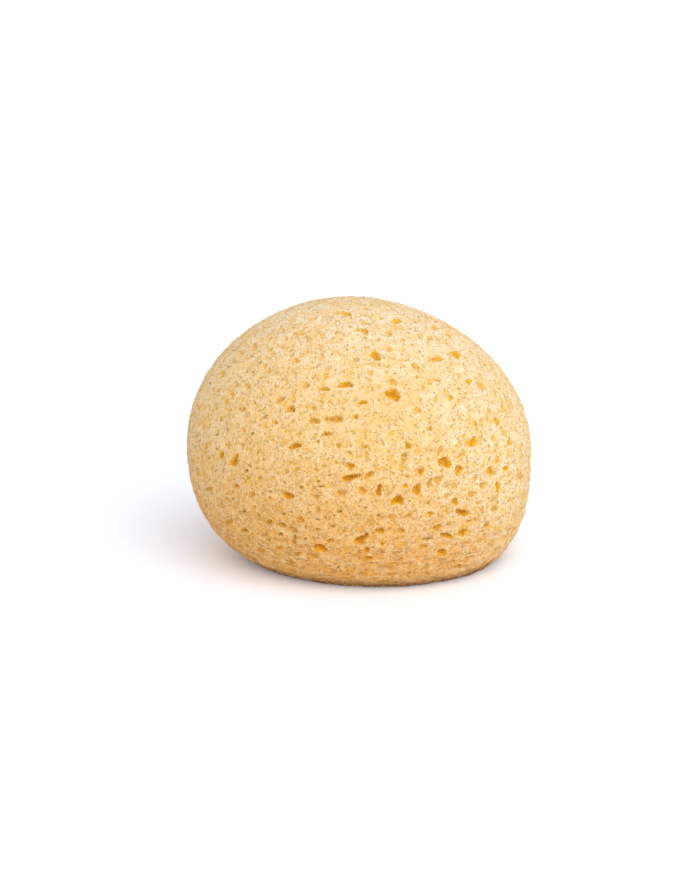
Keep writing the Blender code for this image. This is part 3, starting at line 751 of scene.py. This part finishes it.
def dry_sponge():
    """Dry fibre: cream where raised, with ochre mottling; straw, tan and ochre as painted shade in
    its recesses, fine holes and folds, and low down and on the left; a painted highlight on the
    crown; amber painted in its pores as their glow.
    """
    material = bpy.data.materials.new("dry_sponge")
    material.use_nodes = True
    tree = material.node_tree
    shader = tree.nodes["Principled BSDF"]
    shader.inputs["Roughness"].default_value = 0.95
    shader.inputs["Specular IOR Level"].default_value = 0.15
    shader.inputs["Sheen Weight"].default_value = 0.08
    shader.inputs["Sheen Roughness"].default_value = 0.6

    place = add(tree, "TexCoord").outputs["Object"]
    in_mm = add(tree, "Mapping", {"Vector": place, "Scale": (1 / MM, 1 / MM, 1 / MM)}).outputs[0]
    sway = noise(tree, in_mm, 0.9, 3.0)["Color"]
    swayed = {0: sway, 1: SWAY, 2: in_mm}
    wavy = add(tree, "VectorMath", swayed, operation="MULTIPLY_ADD").outputs[0]
    across, _, level = add(tree, "SeparateXYZ", {0: place}).outputs
    low = ramp(tree, level, *LOW_BAND)
    lower_half = ramp(tree, level, *LOWER_HALF)

    web = noise(tree, wavy, 1.1, 5.0, 0.72)[0]
    mottle = noise(tree, in_mm, 0.2, 4.0, 0.6)[0]
    grit = noise(tree, in_mm, 1.8, 2.0)[0]
    blotches, specks, dots = (
        holes(tree, wavy, cells, plus(tree, times(tree, lower_half, more), least), widest, soft)
        for cells, least, more, widest, soft in (BLOTCHES, SPECKS, DOTS)
    )
    pressed = add(tree, "Mapping", {"Vector": wavy, "Scale": PRESSED_SCALE}).outputs[0]
    slits = times(tree, holes(tree, pressed, *SLITS), low)
    folds = ramp(tree, noise(tree, pressed, 1.0, 3.0)[0], 0.52, 0.36)
    from_ripe = add(tree, "VectorMath", {0: place, 1: RIPE_SIDE}, operation="DISTANCE")

    # Paler cream towards the crown: a painted highlight.
    colour = blend(tree, ramp(tree, level, *CROWN_HIGHLIGHT_BAND), CREAM, CROWN_PAINTED_HIGHLIGHT)
    # Each layer covers those before it: where it lies, how strongly, and its colour.
    layers = (
        # Straw where the web sinks: painted shade in its recesses, leaving the raised web cream as
        # a painted highlight.
        (ramp(tree, web, 0.60, 0.36), 0.72, STRAW),
        (ramp(tree, mottle, 0.42, 0.60), 0.46, OCHRE),
        (ramp(tree, from_ripe.outputs["Value"], *RIPE_BAND), 0.3, OCHRE),
        # More ochre towards the left, away from the lamp: painted shade.
        (ramp(tree, across, *LEFT_SHADE_BAND), 0.12, OCHRE),
        # Tan and speck colour in the fine holes and slits: painted shade.
        (dots, 0.6, TAN),
        (specks, 0.65, SPECK),
        # Ochre along the pressed folds near the foot: painted shade of the creases.
        (times(tree, folds, low), 0.6, OCHRE),
        (slits, 0.55, TAN),
        # Amber in the blotch holes: the painted glow of light scattered in them.
        (blotches, 0.8, BLOTCH),
    )
    for where, share, over in layers:
        colour = blend(tree, times(tree, where, share), colour, over)

    # Amber and olive inside the pores, from the rim inwards: the painted glow and the painted shade
    # of the light in the hollows.
    hollow = add(tree, "Attribute", attribute_name="hollow").outputs["Fac"]
    frayed = times(tree, noise(tree, in_mm, 1.6, 3.0)[0], FRAYING)
    open_share = ramp(tree, plus(tree, hollow, frayed), *OPEN_BAND)
    for name, over in (("amber", AMBER), ("olive", OLIVE)):
        inside = add(tree, "Attribute", attribute_name=name).outputs["Fac"]
        colour = blend(tree, times(tree, inside, open_share), colour, over)

    # Darker and warmer towards the foot, less so on the right: painted shade and warm floor bounce.
    lifted = level
    for band, lift in RIGHT_LIFTS:
        lifted = plus(tree, lifted, times(tree, ramp(tree, across, *band), lift))
    tint = blend(tree, ramp(tree, lifted, *LOW_PAINTED_SHADE_BAND), WHITE, LOW_PAINTED_SHADE)
    # Dark brown on the lowest few millimetres, where the skin meets the shelf: painted contact
    # shadow.
    tint = blend(tree, ramp(tree, level, *UNDERSIDE_SHADE_BAND), tint, UNDERSIDE_PAINTED_SHADE)
    tint = tinted(tree, tint, GRIT_SHADE, ramp(tree, grit, 0.56, 0.40))
    tree.links.new(tinted(tree, colour, tint), shader.inputs["Base Color"])

    # The relief that bends the light: each part's height as a share of the web's.
    relief = web
    heights = ((grit, 0.35), (dots, -0.4), (specks, -0.6), (blotches, -0.45), (slits, -0.5))
    for part, high in heights:
        relief = plus(tree, relief, times(tree, part, high))
    bump = add(tree, "Bump", {"Height": relief, "Distance": RELIEF_DEPTH, "Strength": 1.0})
    tree.links.new(bump.outputs[0], shader.inputs["Normal"])
    return material


sponge_skin.data.materials.append(dry_sponge())
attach(sponge_skin, "root")
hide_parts("sponge")

# The loose fibres.
# Thin springy strands of the same stuff as the body, which loop out of its skin and back, or
# stand off it where the trimming cut them. Others span the mouths of the pores.
STRANDS_A_PIECE = 7000
STRAND_RINGS = 5
STRAND_SIDES = 3
STRAND_RADIUS = (0.05 * MM, 0.09 * MM)
STRAND_LENGTH = (0.9 * MM, 2.6 * MM)
STRAND_RISE = (0.08 * MM, 0.32 * MM)
STRAND_SWAY = 0.3
SET_IN = 0.15
CUT_SHARE = 0.2
ROOTED_ABOVE = 0.2 * MM
CLEAR_OF_THE_SHELF = 0.3 * MM
STRAND_SEEDS = {"fibres_inner": 41, "fibres_outer": 42}
BRIDGE_SEED = 43
BRIDGES_A_PORE = 3
BRIDGED_WIDTH = 1.9 * MM
BRIDGE_SAG = (0.2, 0.5)
BRIDGE_TURN = (1.8, 4.4)
BRIDGE_ENDS = (-0.05, 1.05)
BRIDGE_RADIUS = (0.05 * MM, 0.10 * MM)
FIBRE_PALE = (0.95, 0.80, 0.53, 1)
FIBRE_DARK = (0.88, 0.60, 0.22, 1)
# Bridge strands are painted amber like the inside of the pores: the glow of light scattered there.
BRIDGE_PALE = (1.0, 0.68, 0.17, 1)
BRIDGE_DARK = (1.0, 0.58, 0.05, 1)


def tubes(lines, side, normal, radius):
    """Points and faces of thin tubes, one round each line, in rings of a few corners.

    A ring's corner at angle a stands radius * (cos a * side + sin a * normal) off its line. No
    line comes nearer to the resting plane than the widest tube's radius.
    """
    lines[..., 2] = np.maximum(lines[..., 2], radius.max() - BELLY_HEIGHT)
    turn = np.arange(STRAND_SIDES) * 2 * math.pi / STRAND_SIDES
    ring = np.cos(turn)[:, None] * side[:, None, None]
    ring = ring + np.sin(turn)[:, None] * normal[:, None, None]
    points = lines[:, :, None] + radius[:, None, None, None] * ring
    corner = np.arange(STRAND_SIDES)
    after = (corner + 1) % STRAND_SIDES
    low = np.arange(STRAND_RINGS - 1)[:, None] * STRAND_SIDES
    high = low + STRAND_SIDES
    wall = np.stack([low + corner, low + after, high + after, high + corner], axis=-1)
    shift = np.arange(len(lines))[:, None, None] * STRAND_RINGS * STRAND_SIDES
    walls = (wall.reshape(1, -1, 4) + shift).reshape(-1, 4)
    ends = np.stack([corner[::-1], corner + (STRAND_RINGS - 1) * STRAND_SIDES])
    ends = (ends[None] + shift).reshape(-1, STRAND_SIDES)
    return points.reshape(-1, 3) + belly, walls.tolist() + ends.tolist()


def skin_strands(seed):
    """Strands rooted in the skin.

    At share s of its length a strand has gone s times its length along the skin and stands
    rise * (4s(1 - s) - SET_IN) off it where both ends hold, or 2 * rise * s^2 where one is cut.
    """
    random = np.random.default_rng(seed)
    rooted = (down < ROOTED_ABOVE) & (skin[:, 2] > CLEAR_OF_THE_SHELF - BELLY_HEIGHT)
    roots = random.choice(np.flatnonzero(rooted), STRANDS_A_PIECE)
    start, normal = skin[roots], skin_normals[roots]
    along = np.cross(normal, random.normal(size=normal.shape))
    along /= np.linalg.norm(along, axis=1)[:, None]
    side = np.cross(normal, along)
    length = random.uniform(*STRAND_LENGTH, STRANDS_A_PIECE)[:, None, None]
    rise = random.uniform(*STRAND_RISE, STRANDS_A_PIECE)[:, None, None]
    cut = (random.random(STRANDS_A_PIECE) < CUT_SHARE)[:, None, None]
    sway = random.uniform(-STRAND_SWAY, STRAND_SWAY, STRANDS_A_PIECE)[:, None, None] * length
    share = np.linspace(0, 1, STRAND_RINGS)[None, :, None]
    stand = np.where(cut, 2 * rise * share**2, rise * (4 * share * (1 - share) - SET_IN))
    lines = (
        start[:, None] + length * share * along[:, None]
        + sway * share**2 * side[:, None] + stand * normal[:, None]
    )
    return tubes(lines, side, normal, random.uniform(*STRAND_RADIUS, STRANDS_A_PIECE))


def pore_bridges():
    """Strands across the wider pores, from wall to wall, each sagging inwards.

    A strand's ends sit on the rim at two angles nearly opposite, and at share s of its length
    it has sunk by its end depth + sag * 4s(1 - s).
    """
    random = np.random.default_rng(BRIDGE_SEED)
    wide = [pore for pore in pores if np.linalg.norm(pore[1:3], axis=1).sum() > BRIDGED_WIDTH]
    middle, first, second, normal, deep = (
        np.repeat(np.array([pore[part] for pore in wide]), BRIDGES_A_PORE, axis=0)
        for part in range(5)
    )
    start_turn = random.uniform(0, 2 * math.pi, len(middle))[:, None]
    end_turn = start_turn + random.uniform(*BRIDGE_TURN, len(middle))[:, None]
    start = middle + np.cos(start_turn) * first + np.sin(start_turn) * second
    end = middle + np.cos(end_turn) * first + np.sin(end_turn) * second
    along = (end - start) / np.linalg.norm(end - start, axis=1)[:, None]
    sunk_at, sag = (random.uniform(*BRIDGE_SAG, len(middle)) * deep for _ in range(2))
    share = np.linspace(*BRIDGE_ENDS, STRAND_RINGS)[None, :, None]
    sink = sunk_at[:, None, None] + sag[:, None, None] * 4 * share * (1 - share)
    lines = start[:, None] + share * (end - start)[:, None] - sink * normal[:, None]
    radius = random.uniform(*BRIDGE_RADIUS, len(middle))
    return tubes(lines, np.cross(normal, along), normal, radius)


def dry_fibre(name, pale, dark):
    """Fibre of one colour, darker in places, matte."""
    material = bpy.data.materials.new(name)
    material.use_nodes = True
    tree = material.node_tree
    shader = tree.nodes["Principled BSDF"]
    shader.inputs["Roughness"].default_value = 0.85
    shader.inputs["Specular IOR Level"].default_value = 0.25
    place = add(tree, "TexCoord").outputs["Object"]
    tone = noise(tree, place, 900.0, 2.0)[0]
    colour = blend(tree, ramp(tree, tone, 0.35, 0.65), pale, dark)
    level = add(tree, "SeparateXYZ", {0: place}).outputs[2]
    # Darker and warmer towards the foot, as on the body: painted shade.
    tint = blend(tree, ramp(tree, level, *LOW_PAINTED_SHADE_BAND), WHITE, LOW_PAINTED_SHADE)
    tree.links.new(tinted(tree, colour, tint), shader.inputs["Base Color"])
    return material


fibre = dry_fibre("dry_fibre", FIBRE_PALE, FIBRE_DARK)
amber_fibre = dry_fibre("amber_fibre", BRIDGE_PALE, BRIDGE_DARK)
fibre_pieces = {name: skin_strands(seed) for name, seed in STRAND_SEEDS.items()}
fibre_pieces["pore_bridges"] = pore_bridges()
for name, (strand_points, strand_faces) in fibre_pieces.items():
    tuft = new_mesh(name, strand_points, strand_faces)
    tuft.data.materials.append(amber_fibre if name == "pore_bridges" else fibre)
    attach(tuft, "root")

# The floor and the light.
# A white sheet that glows a little, as on a light table, under an even white sky, with one
# broad soft lamp in front on the right, half-way up.
FLOOR_SIZE = 12.0
FLOOR_WHITE = (0.893, 0.918, 0.985, 1)
FLOOR_GLOW = 0.1
SKY_STRENGTH = 0.685
KEY_STRENGTH = 2.08
KEY_SPREAD = math.radians(68)
KEY_ELEVATION = math.radians(40)
KEY_TURN = math.radians(29)

edge = FLOOR_SIZE / 2
floor_corners = [(-edge, -edge, 0), (edge, -edge, 0), (edge, edge, 0), (-edge, edge, 0)]
floor = new_mesh("floor", floor_corners, [(0, 1, 2, 3)])
floor_paint = bpy.data.materials.new("white_floor")
floor_paint.use_nodes = True
sheet = floor_paint.node_tree.nodes["Principled BSDF"]
sheet.inputs["Base Color"].default_value = FLOOR_WHITE
sheet.inputs["Roughness"].default_value = 1.0
sheet.inputs["Specular IOR Level"].default_value = 0.0
sheet.inputs["Emission Color"].default_value = WHITE
sheet.inputs["Emission Strength"].default_value = FLOOR_GLOW
floor.data.materials.append(floor_paint)

world = bpy.data.worlds.new("white_sky")
world.use_nodes = True
sky_tree = world.node_tree
sky_shown = sky_tree.nodes["Background"]
sky_shown.inputs["Strength"].default_value = 1.0
sky_shown.inputs["Color"].default_value = WHITE
sky_lighting = add(sky_tree, "Background", {"Color": WHITE, "Strength": SKY_STRENGTH})
seen = add(sky_tree, "LightPath").outputs["Is Camera Ray"]
skies = {0: seen, 1: sky_lighting.outputs[0], 2: sky_shown.outputs[0]}
sky_mix = add(sky_tree, "MixShader", skies)
sky_tree.links.new(sky_mix.outputs[0], sky_tree.nodes["World Output"].inputs["Surface"])
bpy.context.scene.world = world

key = bpy.data.objects.new("key_lamp", bpy.data.lights.new("key_lamp", "SUN"))
key.data.energy = KEY_STRENGTH
key.data.angle = KEY_SPREAD
key.rotation_euler = (math.pi / 2 - KEY_ELEVATION, 0, KEY_TURN)
bpy.context.scene.collection.objects.link(key)

bpy.context.scene.view_settings.view_transform = "Standard"
